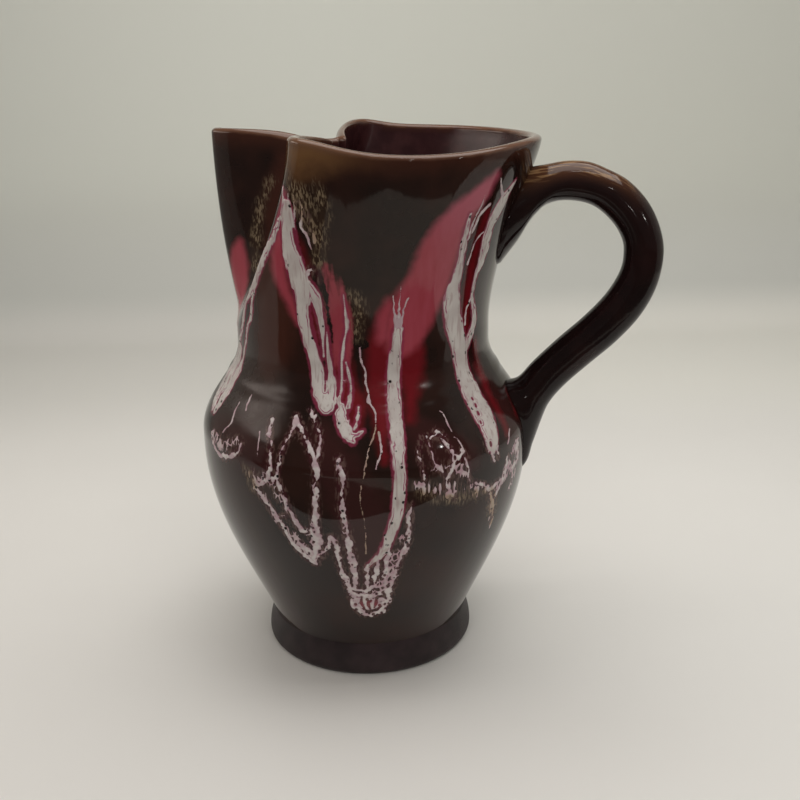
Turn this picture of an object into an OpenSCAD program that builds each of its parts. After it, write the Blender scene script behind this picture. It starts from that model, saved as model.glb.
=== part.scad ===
// Earthenware pitcher with a pinched spout, a luted loop handle and raised runs of white glaze.
// The foot stands on z = 0 and Z is the axis it was thrown on; the handle is at +X, the spout at -X.
// Angles round the wall are in degrees from the handle; lengths are millimetres.

/* [Foot] */
// Radius of the crease where the belly meets the foot
crease_r = 38.8; // [32:0.2:44]
// How far the foot ring flares out past the crease
foot_flare = 2.2; // [0.5:0.1:5]
// Height of the foot ring
foot_h = 13; // [9:0.5:18]
// Width of the foot ring at the top, from the crease inwards
foot_ring_w = 8.5; // [6.5:0.5:14]
// Rounding of the foot's lower outer edge
foot_round = 3; // [1:0.5:5]
// Thickness of the floor slab
floor_t = 6; // [3:0.5:10]

/* [Belly] */
// Largest radius of the belly
belly_r = 62.4; // [54:0.2:72]
// Height at which the belly is widest
belly_z = 86; // [70:1:90]
// Height at which the shoulder starts to draw in
shoulder_z = 90.5; // [86:0.5:100]
// Fullness of the lower belly, where a larger value makes it leaner
belly_lean = 1.12; // [1.05:0.01:1.6]
// Wall thickness of belly, neck and lip
wall = 4.2; // [3:0.1:5]

/* [Neck and lip] */
// Height of the waist, where the neck collar is luted on
waist_z = 124; // [116:1:130]
// Radius of the waist
waist_r = 47.4; // [42:0.2:52]
// Height above the waist at which the spout folds begin
fold_start = 7; // [3:0.5:12]
// Height of the lip over the round part of the mouth
lip_z = 196.1; // [180:0.5:215]
// Radius of the round part of the mouth
lobe_r = 55.8; // [52:0.2:60]
// Shift of the round part of the mouth towards the handle
lobe_shift = 8; // [2:0.5:12]
// Curve of the neck's flare, where 1 is a straight cone
flare_curve = 1.6; // [1:0.1:2.4]
// How far the spout's nose reaches from the axis
spout_reach = 55.6; // [52:0.2:70]
// Half width of the spout channel, outside
spout_half_w = 13.5; // [11:0.5:17]
// Angle at which each fold leaves the round part of the lip
fold_from = 100; // [94:1:108]
// Angle at which each fold meets the spout channel at the lip
fold_to = 136; // [130:1:142]
// Lift of the lip at the two fold corners
corner_lift = 3.6; // [0:0.2:6]
// Drop of the lip at the two pinched points
pinch_drop = 1.2; // [0:0.2:4]
// Lift of the lip at the spout's nose
nose_lift = 4; // [0:0.2:7]
// Rounding height of the lip's edge
lip_round = 1.6; // [0.6:0.1:2]

/* [Handle] */
// Diameter of the handle's rod
rod_d = 14.4; // [11:0.2:17]
// Radius of the handle's bend, at the middle of the rod
loop_r = 26; // [22:0.5:30]
// Distance of the bend's centre out from the neck
loop_out = 25.5; // [22:0.5:32]
// Distance of the bend's centre below the lip
loop_drop = 39.6; // [36:0.2:44]
// Slope of the straight run from the bend down to the shoulder
run_slope = 45; // [38:1:52]
// Gap that each root fills between the rod's end and the wall
root_gap = 8.5; // [6:0.5:11]
// Half width of the roots where they spread on the wall
root_half_w = 9; // [7:0.5:12]
// Length of the thumbed tail below the upper end of the rod
upper_tail = 25; // [15:0.5:28]
// Length of the tail below the lower end of the rod
lower_tail = 26; // [16:0.5:28]
// Rise of the roots above the rod's ends on the wall
root_rise = 7; // [4:0.5:9]

/* [Glaze runs] */
// Height of the white runs above the wall
bead_h = 0.9; // [0.5:0.1:1.5]
// Clearance at luted seams and under the runs
seam = 0.15; // [0.1:0.05:0.25]

/* [Hidden] */
$fn = 96;

foot_r = crease_r + foot_flare;
fold_z = waist_z + fold_start;
// Angles of the folds at their lower end, where both run out into the waist
fold_low_from = 148;
fold_low_to = 172;
// How fast the folds swing out and the pinch deepens above the waist, where 1 is steady
fold_curve = 1.8;
pinch_curve = 2;
// Angles at which the lip is highest, lowest and starts to rise to the nose, and how wide those waves are
corner_angle = fold_from + 6;
pinch_angle = fold_to;
nose_angle = fold_to + 14;
wave_angle = 13;
// Squareness of the spout's nose in plan
nose_square = 3;
// Samples up the belly, round half the collar and up the collar
belly_steps = 36;
half_steps = 34;
collar_steps = 12;
// Shares of the half ring given to the round part and to the fold
round_share = 0.34;
fold_share = 0.38;
// Sides of the roots, rings along them, and rings of the patch that beds on the wall
root_sides = 32;
root_rings = 5;
bed_rings = 3;
// Share by which a root's tail narrows to its end
tail_narrow = 0.45;
// Samples of a glaze run between two of its points, and height of its edge
run_steps = 6;
edge_h = 0.2;
// Share of its width that a glaze run keeps at the tip
tip_share = 0.3;
// Cross-section of a glaze run as [share of its half width, height], with a flat crown
crown_share = 0.55;
crown_h = 0.84 * bead_h;
run_section = [
    [-1, 0], [-1, edge_h], [-crown_share, crown_h], [0, bead_h],
    [crown_share, crown_h], [1, edge_h], [1, 0], [0, 0]
];
// Places across the wall, as shares of it, where the lip's round edge is sampled
lip_shares = [0.15, 0.5, 0.85];
// Halvings in the searches for the rod's two ends, and the angles between which its upper end lies
search_steps = 30;
bend_low = 60;
bend_high = 175;
// Rings along the handle's bend and along its straight run
bend_rings = 26;
straight_rings = 4;

clay = "#3a2420";
glazed_brown = "#2a1a18";
white_glaze = "#cfcac6";

// White runs as [angle, height, half width] from top to tip, chosen by eye on a jug with this lip height
drawn_lip_z = 196.1;
left_run = [
    [-106, 180, 2.2], [-104, 168, 3], [-102, 155, 3.4], [-99, 138, 3.6], [-96, 124, 3.6], [-92, 112, 3]
];
hook_run = [[-84, 149, 0.9], [-86, 135, 1], [-87, 124, 1.2], [-85, 114, 2.2], [-84, 106, 2.8]];
middle_run = [
    [-63, 147, 1.4], [-63, 138, 1.8], [-64.5, 120, 3], [-67, 100, 3.3], [-67, 82, 3.2], [-68, 70, 2.6],
    [-71.5, 62, 1.6]
];
right_run = [
    [-38, 176, 1.4], [-38, 152, 2.2], [-37, 138, 2.6], [-31, 125, 3.2], [-31, 114, 3.2], [-30, 102, 3.2],
    [-31, 90, 2]
];
side_run = [[-17, 182, 1.2], [-22, 165, 1.4], [-22, 150, 1.6], [-20, 139, 1.6], [-23, 130, 1.2]];
spout_run = [[-150, 118, 1.4], [-153, 112, 2], [-154, 106, 2.6], [-153, 99, 2.2]];
white_runs = [left_run, hook_run, middle_run, right_run, side_run, spout_run];
run_scale = lip_z / drawn_lip_z;

function clamp01(u) = min(1, max(0, u));
function smooth(a, b, x) = let (u = clamp01((x - a) / (b - a))) u * u * (3 - 2 * u);
function mix(a, b, k) = a + (b - a) * k;
function bump(x, at) = exp(-pow((x - at) / wave_angle, 2));

// Belly: outer radius, its slope, and the inner radius at a height
function belly_radius(z) =
    let (
        low = clamp01((z - foot_h) / (belly_z - foot_h)),
        high = clamp01((z - shoulder_z) / (waist_z - shoulder_z))
    )
    mix(crease_r, belly_r, pow(sin(90 * low), belly_lean)) - (belly_r - waist_r) * (1 - cos(180 * high)) / 2;
function belly_slope(z) = (belly_radius(z + 0.1) - belly_radius(z - 0.1)) / 0.2;
function belly_inner(z) = belly_radius(z) - wall * sqrt(1 + pow(belly_slope(z), 2));
function belly_point(angle, z, off) =
    let (
        steep = belly_slope(z),
        out = off / sqrt(1 + steep * steep),
        r = belly_radius(z) + out
    )
    [r * cos(angle), r * sin(angle), z - out * steep];

// Collar: plan radius at an angle from the handle, 0 to 180, and a share of the height from fold to lip
function lobe_radius(angle, up) =
    let (
        grown = pow(up, flare_curve),
        shift = lobe_shift * grown,
        r = mix(waist_r, lobe_r, grown)
    )
    shift * cos(angle) + sqrt(r * r - pow(shift * sin(angle), 2));
function nose_reach(up) = mix(waist_r, spout_reach, 1 - pow(1 - up, pinch_curve));
function channel_radius(angle, up) =
    1 / pow(
        pow(sin(angle) / spout_half_w, nose_square) + pow(abs(cos(angle)) / nose_reach(up), nose_square),
        1 / nose_square
    );
function fold_first(up) = mix(fold_low_from, fold_from, 1 - pow(1 - up, fold_curve));
function fold_last(up) = mix(fold_low_to, fold_to, 1 - pow(1 - up, fold_curve));
function collar_radius(angle, up) =
    let (
        lobe = lobe_radius(angle, up),
        depth = 1 - pow(1 - up, pinch_curve),
        soft_nose = mix(lobe, nose_reach(up), smooth(fold_last(up), 180, angle)),
        spout = mix(soft_nose, channel_radius(angle, up), depth)
    )
    mix(lobe, spout, smooth(fold_first(up), fold_last(up), angle));
function lip_height(angle) =
    lip_z + corner_lift * bump(angle, corner_angle) - pinch_drop * bump(angle, pinch_angle)
    + nose_lift * smooth(nose_angle, 180, angle);
function collar_point(angle, up) =
    let (r = collar_radius(abs(angle), up))
    [
        r * cos(angle), r * sin(angle),
        mix(fold_z, lip_height(abs(angle)) - lip_round, up)
    ];

// Rings of the collar, from the waist seam up the outside, over the lip and down the inside
function half_angle(k, up) =
    k < round_share ? fold_first(up) * k / round_share
    : k < round_share + fold_share
        ? mix(fold_first(up), fold_last(up), (k - round_share) / fold_share)
        : mix(fold_last(up), 180, (k - round_share - fold_share) / (1 - round_share - fold_share));
function ring_angle(j, up) =
    j <= half_steps ? half_angle(j / half_steps, up) : -half_angle((2 * half_steps - j) / half_steps, up);
function outer_ring(up) = [for (j = [0 : 2 * half_steps - 1]) collar_point(ring_angle(j, up), up)];
function inset_ring(ring, by, lift) =
    [
        for (j = [0 : len(ring) - 1])
            let (
                ahead = ring[(j + 1) % len(ring)],
                behind = ring[(j + len(ring) - 1) % len(ring)],
                along = [ahead.x - behind.x, ahead.y - behind.y],
                out = [along.y, -along.x] / norm(along)
            )
            [ring[j].x - by * out.x, ring[j].y - by * out.y, ring[j].z + lift]
    ];
function at_height(ring, z) = [for (p = ring) [p.x, p.y, z]];
function collar_rings() =
    let (
        outside = [for (i = [0 : collar_steps]) outer_ring(i / collar_steps)],
        inside = [for (ring = outside) inset_ring(ring, wall, 0)],
        lip = [
            for (k = lip_shares)
                inset_ring(outside[collar_steps], k * wall, lip_round * sqrt(1 - pow(2 * k - 1, 2)))
        ]
    )
    concat(
        [at_height(outside[0], waist_z)], outside, lip,
        [for (i = [collar_steps : -1 : 0]) inside[i]],
        [at_height(inside[0], waist_z)]
    );

// A point on the outside of the jug at an angle and height, standing off the wall
function wall_up(angle, z) = clamp01((z - fold_z) / (lip_height(abs(angle)) - lip_round - fold_z));
function wall_point(angle, z, off) =
    z <= waist_z ? belly_point(angle, z, off)
    : let (r = collar_radius(abs(angle), wall_up(angle, z)) + off) [r * cos(angle), r * sin(angle), z];
function wall_radius(angle, z) = norm([for (i = [0, 1]) wall_point(angle, z, 0)[i]]);

// Handle: the bend's centre, the angles where it ends, and the length of the straight run
loop_z = lip_z - loop_drop;
loop_x = wall_radius(0, loop_z) + loop_out;
function bend_point(angle) = [loop_x + loop_r * cos(angle), 0, loop_z + loop_r * sin(angle)];
function bend_room(angle) = let (p = bend_point(angle)) p.x - wall_radius(0, p.z) - root_gap;
function bend_start(low, high, tries) =
    let (middle = (low + high) / 2)
    tries <= 0 ? middle
    : bend_room(middle) > 0 ? bend_start(middle, high, tries - 1) : bend_start(low, middle, tries - 1);
run_along = [-sin(run_slope), 0, -cos(run_slope)];
function run_point(length) = bend_point(-run_slope) + length * run_along;
function run_room(length) = let (p = run_point(length)) p.x - wall_radius(0, p.z) - root_gap;
function run_end(low, high, tries) =
    let (middle = (low + high) / 2)
    tries <= 0 ? middle
    : run_room(middle) > 0 ? run_end(middle, high, tries - 1) : run_end(low, middle, tries - 1);
bend_from = bend_start(bend_low, bend_high, search_steps);
run_length = run_end(0, 3 * loop_r, search_steps);

// Rings of a root, from the rod's flat end to an oval bed on the wall
function rod_ring(centre, up) =
    [
        for (j = [0 : root_sides - 1])
            let (a = 360 * j / root_sides)
            centre + rod_d / 2 * (cos(a) * [0, 1, 0] + sin(a) * up)
    ];
function bed_ring(z, above, below, half_w, share) =
    [
        for (j = [0 : root_sides - 1])
            let (
                a = 360 * j / root_sides,
                high = share * sin(a) * (sin(a) > 0 ? above : below),
                narrow = sin(a) > 0 ? 1 : 1 + tail_narrow * sin(a),
                turn = share * cos(a) * half_w * narrow / wall_radius(0, z) * 180 / PI
            )
            wall_point(turn, z + high, seam)
    ];
function root_rings_list(rod, z, above, below) =
    let (bed = bed_ring(z, above, below, root_half_w, 1))
    concat(
        [for (i = [0 : root_rings - 1]) [for (j = [0 : root_sides - 1]) mix(rod[j], bed[j], i / root_rings)]],
        [for (i = [bed_rings : -1 : 1]) bed_ring(z, above, below, root_half_w, i / bed_rings)]
    );

// Path of a glaze run through its points, and its cross-section standing on the wall
function through(a, b, c, d, k) =
    b + 0.5 * k * (c - a + k * (2 * a - 5 * b + 4 * c - d + k * (3 * (b - c) + d - a)));
function run_path(points) =
    let (last = len(points) - 1)
    [
        for (i = [0 : run_steps * last])
            let (n = min(floor(i / run_steps), last - 1), k = i / run_steps - n)
            through(points[max(n - 1, 0)], points[n], points[n + 1], points[min(n + 2, last)], k)
    ];
function run_ring(p, width_share) =
    let (half_turn = width_share * p[2] / wall_radius(p[0], p[1]) * 180 / PI)
    [
        for (s = run_section)
            let (q = wall_point(p[0] + s[0] * half_turn, p[1], seam + s[1]))
            [q.x, q.y, p[1]]
    ];
function run_rings(points) =
    let (path = run_path(points), last = len(path) - 1)
    [for (i = [0 : last]) run_ring(path[i], mix(tip_share, 1, sin(90 * clamp01((last - i) / run_steps))))];

function sum_list(list, i = 0) = i == len(list) - 1 ? list[i] : list[i] + sum_list(list, i + 1);
function side_faces(rings, round, looped) =
    [
        for (i = [0 : rings - (looped ? 1 : 2)], j = [0 : round - 1])
            let (
                low = i * round,
                high = ((i + 1) % rings) * round,
                next = (j + 1) % round
            )
            each [[low + j, high + j, high + next], [low + j, high + next, low + next]]
    ];

// A closed tube of rings, such as the collar with its inside
module looped_skin(rings) {
    round = len(rings[0]);
    polyhedron([for (ring = rings) each ring], side_faces(len(rings), round, true), 10);
}

// A solid through open rings, with a fan of faces at each end
module capped_skin(rings) {
    round = len(rings[0]);
    count = len(rings);
    first = sum_list(rings[0]) / round;
    last = sum_list(rings[count - 1]) / round;
    hub = count * round;
    start_fan = [for (j = [0 : round - 1]) [hub, j, (j + 1) % round]];
    top = hub - round;
    end_fan = [for (j = [0 : round - 1]) [hub + 1, top + (j + 1) % round, top + j]];
    polyhedron(
        concat([for (ring = rings) each ring], [first, last]),
        concat(side_faces(count, round, false), start_fan, end_fan),
        10
    );
}

// Turned ring that the jug stands on
module foot_ring() {
    flare_steps = 8;
    flare = [
        for (i = [0 : flare_steps])
            let (k = i / flare_steps) [crease_r + foot_flare * sin(90 * k), mix(foot_h, foot_round, k)]
    ];
    edge = [
        for (a = [15 : 15 : 90])
            [foot_r - foot_round * (1 - cos(a)), foot_round * (1 - sin(a))]
    ];
    inside = [[crease_r - foot_ring_w, 0], [crease_r - foot_ring_w, foot_h]];
    color(clay) rotate_extrude() polygon(concat(flare, edge, inside));
}

// Slab that closes the bottom, lying on the foot ring inside the belly
module floor_slab() {
    rim = [for (k = [0 : 0.25 : 1]) let (z = foot_h + floor_t * k) [belly_inner(z) - seam, z]];
    color(clay) rotate_extrude() polygon(concat([[0, foot_h]], rim, [[0, foot_h + floor_t]]));
}

// Thrown bowl from the crease to the waist
module belly_wall() {
    heights = [for (i = [0 : belly_steps]) mix(foot_h, waist_z, i / belly_steps)];
    outside = [for (z = heights) [belly_radius(z), z]];
    inside = [for (i = [belly_steps : -1 : 0]) [belly_inner(heights[i]), heights[i]]];
    color(glazed_brown) rotate_extrude() polygon(concat(outside, inside));
}

// Thrown collar, flared and then pinched from both sides into a spout
module neck_collar() {
    color(glazed_brown) looped_skin(collar_rings());
}

// Pulled rod, bent into a loop with a straight run
module handle_loop() {
    bend = [
        for (i = [0 : bend_rings])
            let (a = mix(bend_from, -run_slope, i / bend_rings))
            rod_ring(bend_point(a), [cos(a), 0, sin(a)])
    ];
    straight = [
        for (i = [1 : straight_rings])
            rod_ring(run_point(run_length * i / straight_rings), [cos(run_slope), 0, -sin(run_slope)])
    ];
    color(glazed_brown) capped_skin(concat(bend, straight));
}

// Clay that joins the rod's upper end to the neck, thumbed down into a tail
module handle_upper_root() {
    start = bend_point(bend_from);
    up = [cos(bend_from), 0, sin(bend_from)];
    color(glazed_brown)
        capped_skin(root_rings_list(rod_ring(start, up), start.z, root_rise, upper_tail));
}

// Clay that joins the rod's lower end to the shoulder and runs out down the belly
module handle_lower_root() {
    start = run_point(run_length);
    up = [-cos(run_slope), 0, sin(run_slope)];
    bed_z = start.z - root_rise;
    color(glazed_brown)
        capped_skin(root_rings_list(rod_ring(start, up), bed_z, root_rise, lower_tail - root_rise));
}

// Raised runs of white glaze on the neck and belly
module white_glaze_runs() {
    color(white_glaze)
        for (drawn = white_runs)
            capped_skin(run_rings([for (p = drawn) [p[0], run_scale * p[1], run_scale * p[2]]]));
}

foot_ring();
floor_slab();
belly_wall();
neck_collar();
handle_loop();
handle_upper_root();
handle_lower_root();
white_glaze_runs();
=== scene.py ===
import itertools
import math

import bpy
import numpy as np
from mathutils import Matrix, Vector


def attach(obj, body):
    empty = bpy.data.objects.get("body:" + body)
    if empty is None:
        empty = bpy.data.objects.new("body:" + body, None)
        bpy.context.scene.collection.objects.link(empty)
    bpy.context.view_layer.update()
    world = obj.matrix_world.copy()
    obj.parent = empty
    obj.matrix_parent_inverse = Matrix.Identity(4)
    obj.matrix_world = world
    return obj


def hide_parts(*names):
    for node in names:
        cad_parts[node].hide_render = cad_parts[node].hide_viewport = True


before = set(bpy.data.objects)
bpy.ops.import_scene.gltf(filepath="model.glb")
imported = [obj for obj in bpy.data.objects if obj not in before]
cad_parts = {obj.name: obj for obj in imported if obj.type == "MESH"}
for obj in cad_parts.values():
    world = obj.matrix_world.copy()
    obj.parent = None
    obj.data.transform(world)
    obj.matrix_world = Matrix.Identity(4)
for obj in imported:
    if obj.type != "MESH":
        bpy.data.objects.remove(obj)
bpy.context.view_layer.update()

# Foot ring: the base that the pitcher stands on, trimmed on the wheel after throwing.
# Dark clay under a thin, wiped coat of glaze, so it is duller than the belly above it.
MM = 0.001
crease_r = 38.8
foot_h = 13.0
foot_flare = 2.2
foot_round = 3.0
foot_inner_r = 30.3
foot_inner_round = 1.0
foot_recess_h = 12.0
foot_tuck_in = 1.5
foot_tuck_up = 0.3
wiped_dark = (0.016, 0.0095, 0.0105, 1)
wiped_brown = (0.034, 0.020, 0.022, 1)


def between(low, high, x):
    return np.clip((x - low) / (high - low), 0.0, 1.0)


def smooth(low, high, x):
    share = between(low, high, x)
    return share * share * (3.0 - 2.0 * share)


def mix(a, b, share):
    return a + (b - a) * share


def around(angle, radius, z):
    """Points round the upright axis, at angles in degrees from the handle."""
    turn = np.radians(angle)
    return np.stack(np.broadcast_arrays(radius * np.cos(turn), radius * np.sin(turn), z), axis=-1)


def grid_index(rows, cols):
    return np.arange(rows * cols).reshape(rows, cols)


def grid_faces(rows, cols, wrapped):
    """Quads between the rows of a grid of points, joined round to the first column if wrapped."""
    index = grid_index(rows, cols)
    right = np.roll(index, -1, axis=1)
    faces = np.stack([index[:-1], right[:-1], right[1:], index[1:]], axis=-1)
    if not wrapped:
        faces = faces[:, :-1]
    return faces.reshape(-1, 4)


def make_piece(name, points, faces, caps=()):
    """A smooth-shaded mesh object from points in millimetres."""
    mesh = bpy.data.meshes.new(name)
    mesh.from_pydata((points.reshape(-1, 3) * MM).tolist(), [], [*faces.tolist(), *caps])
    mesh.shade_smooth()
    piece = bpy.data.objects.new(name, mesh)
    bpy.context.collection.objects.link(piece)
    return piece


class Coat:
    """A material whose nodes are laid one after another on a Principled surface."""

    def __init__(self, name):
        self.material = bpy.data.materials.new(name)
        self.material.use_nodes = True
        self.tree = self.material.node_tree
        self.surface = self.tree.nodes["Principled BSDF"]
        self.where = self.put("TexCoord", out="Object")

    def put(self, kind, inputs=None, out=0, **settings):
        node = self.tree.nodes.new("ShaderNode" + kind)
        for key, value in settings.items():
            setattr(node, key, value)
        for key, value in (inputs or {}).items():
            self.join(value, node.inputs[key])
        return node.outputs[out]

    def join(self, value, socket):
        if isinstance(value, bpy.types.NodeSocket):
            self.tree.links.new(value, socket)
        else:
            socket.default_value = value

    def field(self, name):
        """A value painted on the piece's points."""
        return self.put("Attribute", out="Fac", attribute_name=name)

    def axis(self, letter):
        """The place along X, Y or Z, in metres."""
        return self.put("SeparateXYZ", {"Vector": self.where}, out=letter)

    def math(self, operation, a, b=0.0):
        return self.put("Math", {0: a, 1: b}, operation=operation)

    def times(self, a, b):
        return self.math("MULTIPLY", a, b)

    def plus(self, a, b):
        return self.math("ADD", a, b)

    def step(self, value, low, high):
        """A share that goes smoothly from 0 at low to 1 at high."""
        ends = {"Value": value, "From Min": low, "From Max": high}
        return self.put("MapRange", ends, interpolation_type="SMOOTHSTEP")

    def span(self, share, low, high):
        """A share from 0 to 1 laid out from low to high."""
        return self.put("MapRange", {"Value": share, "To Min": low, "To Max": high})

    def stretched(self, along):
        """The place on the piece, with lengths up the Z axis divided by along."""
        return self.put("Mapping", {"Vector": self.where, "Scale": (1.0, 1.0, 1.0 / along)})

    def noise(self, size_mm, where=None, detail=2.0):
        """Noise from 0 to 1 with lumps of about that many millimetres."""
        inputs = {"Vector": where or self.where, "Scale": 1000.0 / size_mm, "Detail": detail}
        return self.put("TexNoise", inputs, noise_dimensions="3D")

    def ragged(self, name, noise, wander_mm):
        """A depth field whose edge wanders by about that many millimetres."""
        wander = self.times(self.math("SUBTRACT", noise, 0.5), wander_mm)
        return self.plus(self.field(name), wander)

    def pool(self, name, noise, wander_mm, low, high):
        """A share from 0 to 1 across the ragged edge of a depth field."""
        return self.step(self.ragged(name, noise, wander_mm), low, high)

    def blend(self, share, under, over, strength=1.0):
        """One colour laid over another where the share says, at that strength."""
        if strength < 1.0:
            share = self.times(share, strength)
        return self.put("Mix", {0: share, 6: under, 7: over}, out=2, data_type="RGBA")

    def ground(self, share, dark, light):
        self.color = self.blend(share, dark, light)

    def lay(self, share, color, strength=1.0):
        """Lays a colour over what is there, where the share says."""
        self.color = self.blend(share, self.color, color, strength)

    def finish(self, roughness, height=None, height_mm=0.1, ior=1.41):
        """Joins the colour, a roughness and a fine bump to the surface."""
        self.surface.inputs["IOR"].default_value = ior
        self.join(self.color, self.surface.inputs["Base Color"])
        self.join(roughness, self.surface.inputs["Roughness"])
        if height is not None:
            bump = {"Height": height, "Distance": height_mm * MM, "Strength": 1.0}
            self.join(self.put("Bump", bump), self.surface.inputs["Normal"])
        return self.material


foot_turn = np.linspace(-180.0, 180.0, 240, endpoint=False)
tread_round = np.radians(np.linspace(0.0, 90.0, 10))
flare_shares = np.linspace(1.0, 0.0, 24)[1:]
foot_out_r = crease_r + foot_flare
foot_profile = [
    (foot_inner_r, foot_recess_h),
    (foot_inner_r, 4.0 * foot_inner_round),
    (foot_inner_r + 0.3 * foot_inner_round, 0.8 * foot_inner_round),
    (foot_inner_r + foot_inner_round, 0.0),
]
for a in tread_round:
    foot_profile.append((foot_out_r - foot_round * (1.0 - math.sin(a)), foot_round * (1.0 - math.cos(a))))
for k in flare_shares:
    foot_profile.append((crease_r + foot_flare * math.sin(math.pi / 2.0 * k), mix(foot_h, foot_round, k)))
foot_profile.append((crease_r - foot_tuck_in, foot_h + foot_tuck_up))
foot_profile = np.array(foot_profile)
foot_points = around(foot_turn, foot_profile[:, :1], foot_profile[:, 1:])
foot = make_piece("foot_ring_turned", foot_points, grid_faces(len(foot_profile), len(foot_turn), True))

wiped = Coat("wiped_foot_glaze")
foot_rings = wiped.noise(1.2, wiped.stretched(0.12), 3.0)
foot_clouds = wiped.step(wiped.noise(7.0, detail=4.0), 0.3, 0.75)
wiped.ground(foot_clouds, wiped_dark, wiped_brown)
foot_gloss = wiped.span(wiped.noise(5.0, detail=3.0), 0.38, 0.55)
foot.data.materials.append(wiped.finish(foot_gloss, foot_rings, 0.06))
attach(foot, "root")
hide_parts("foot_ring")

# Wall: belly, neck, lip and the inside with its floor, thrown on the wheel and then pinched into a spout.
# Earthenware under a thick, glossy, near-black brown glaze that breaks to tan on edges, with pink and
# crimson poured over it and a lace of white and tan veins where the glazes ran into each other.
wall_t = 4.2
belly_r = 62.4
belly_z = 86.0
shoulder_z = 90.5
belly_lean = 1.12
waist_z = 124.0
waist_r = 47.4
fold_z = 131.0
lip_z = 197.3
lip_round = 1.6
lobe_r = 56.5
lobe_shift = 8.8
flare_curve = 1.6
lip_straight = 0.1
lip_straight_curve = 12.0
fold_from = 96.7
fold_to = 136.0
low_fold_from = 148.0
low_fold_to = 172.0
fold_swing = 1.45
spout_reach = 54.5
spout_half_w = 13.5
channel_square = 3
shoulder_line_z = 113.0
shoulder_line_h = 0.35
shoulder_line_w = 1.8
inside_floor_z = 19.0
floor_dish = 0.8
wall_wobble = 0.0035
wobble_size = 26.0
# Waves of the lip as (height, angle from the handle, span); near is the side from -180 to 0 degrees
near_corner = (4.6, 101.0, 20.0)
near_spout = (2.4, 160.0, 15.0)
far_corner = (2.6, 104.0, 13.0)
far_spout = (-1.4, 156.0, 17.0)
fold_pinch = (-1.2, fold_to, 13.0)
handle_side = (1.1, -12.0, 26.0)
front_side = (-0.9, -52.0, 26.0)
nose_rise = 2.8
nose_from = 150.0
# Waves of the tan on the lip: how much broader it is at the near corner, and where it turns golden
tan_corner = (1.4, -101.0, 16.0)
golden_corner = (1.0, -96.0, 16.0)


def wave(angle, height, middle, span):
    return height * np.exp(-(((angle - middle) / span) ** 2))


def belly_radius(z):
    low = between(foot_h, belly_z, z)
    high = between(shoulder_z, waist_z, z)
    full = mix(crease_r, belly_r, np.sin(np.pi / 2.0 * low) ** belly_lean)
    ridge = wave(z, shoulder_line_h, shoulder_line_z, shoulder_line_w)
    return full - (belly_r - waist_r) * (1.0 - np.cos(np.pi * high)) / 2.0 + ridge


def lip_height(angle):
    """Height of the lip: up at the fold corners, the nose and the handle, higher on the spout's near side."""
    turn = np.abs(angle)
    near = wave(turn, *near_corner) + wave(turn, *near_spout)
    far = wave(turn, *far_corner) + wave(turn, *far_spout)
    folded = lip_z + np.where(angle < 0.0, near, far) + wave(turn, *fold_pinch)
    sway = wave(angle, *handle_side) + wave(angle, *front_side)
    return folded + sway + nose_rise * smooth(nose_from, 180.0, turn)


def collar_radius(angle, up):
    """Plan radius of the neck: a round lobe, folded on both sides into a narrow channel for the spout."""
    turn = np.abs(angle)
    across, ahead = np.sin(np.radians(turn)), np.cos(np.radians(turn))
    grown = (1.0 + lip_straight) * up**flare_curve - lip_straight * up**lip_straight_curve
    shift = lobe_shift * grown
    lobe = shift * ahead + np.sqrt(mix(waist_r, lobe_r, grown) ** 2 - (shift * across) ** 2)
    depth = 1.0 - (1.0 - up) ** 2
    nose = mix(waist_r, spout_reach, depth)
    swing = 1.0 - (1.0 - up) ** fold_swing
    first, last = mix(low_fold_from, fold_from, swing), mix(low_fold_to, fold_to, swing)
    squared = (across / spout_half_w) ** channel_square + (np.abs(ahead) / nose) ** channel_square
    channel = squared ** (-1.0 / channel_square)
    spout = mix(mix(lobe, nose, smooth(last, 180.0, turn)), channel, depth)
    return mix(lobe, spout, smooth(first, last, turn))


def wall_radius(angle, z):
    up = between(fold_z, lip_height(angle) - lip_round, z)
    return np.where(z <= fold_z, belly_radius(z), collar_radius(angle, up))


def wall_point(angle, z):
    return around(angle, wall_radius(angle, z), z)


def inner_radius(angle, z):
    """Radius of the inside, the wall's thickness in from the outside across both slopes."""
    radius = wall_radius(angle, z)
    slope_up = wall_radius(angle, z + 0.5) - wall_radius(angle, z - 0.5)
    slope_round = (wall_radius(angle + 1.0, z) - wall_radius(angle - 1.0, z)) / (radius * math.radians(2.0))
    return radius - wall_t * np.sqrt(1.0 + np.minimum(slope_up**2, 1.0) + slope_round**2)


def scramble(cells):
    """A whole number for each cell of a grid, in no order that shows."""
    mixed = (cells[..., 0] * 73856093) ^ (cells[..., 1] * 19349663) ^ (cells[..., 2] * 83492791)
    mixed = (mixed ^ (mixed >> 13)) * 1274126177
    return mixed ^ (mixed >> 16)


def value_noise(points, size):
    """Smooth noise from 0 to 1 at points in millimetres, with lumps of about that size."""
    cell = np.floor(points / size).astype(np.int64)
    part = points / size - cell
    part = part * part * (3.0 - 2.0 * part)
    total = np.zeros(points.shape[:-1])
    for corner in itertools.product((0, 1), repeat=3):
        value = (scramble(cell + corner) & 65535) / 65535.0
        weight = np.prod(np.where(corner, part, 1.0 - part), axis=-1)
        total += weight * value
    return total


def wobbled(points):
    """The points of a wall moved a little in or out, as the hands leave it."""
    share = 1.0 + wall_wobble * (value_noise(points, wobble_size) - 0.5)
    return np.stack([points[..., 0] * share, points[..., 1] * share, points[..., 2]], axis=-1)


# The camera sees the half from -180 to 0 degrees, so its columns are closer there
seen_turn = np.linspace(-180.0, 0.0, 420, endpoint=False)
unseen_turn = np.linspace(0.0, 180.0, 220, endpoint=False)
wall_turn = np.concatenate([seen_turn, unseen_turn])
lip_top = lip_height(wall_turn) - lip_round
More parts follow.
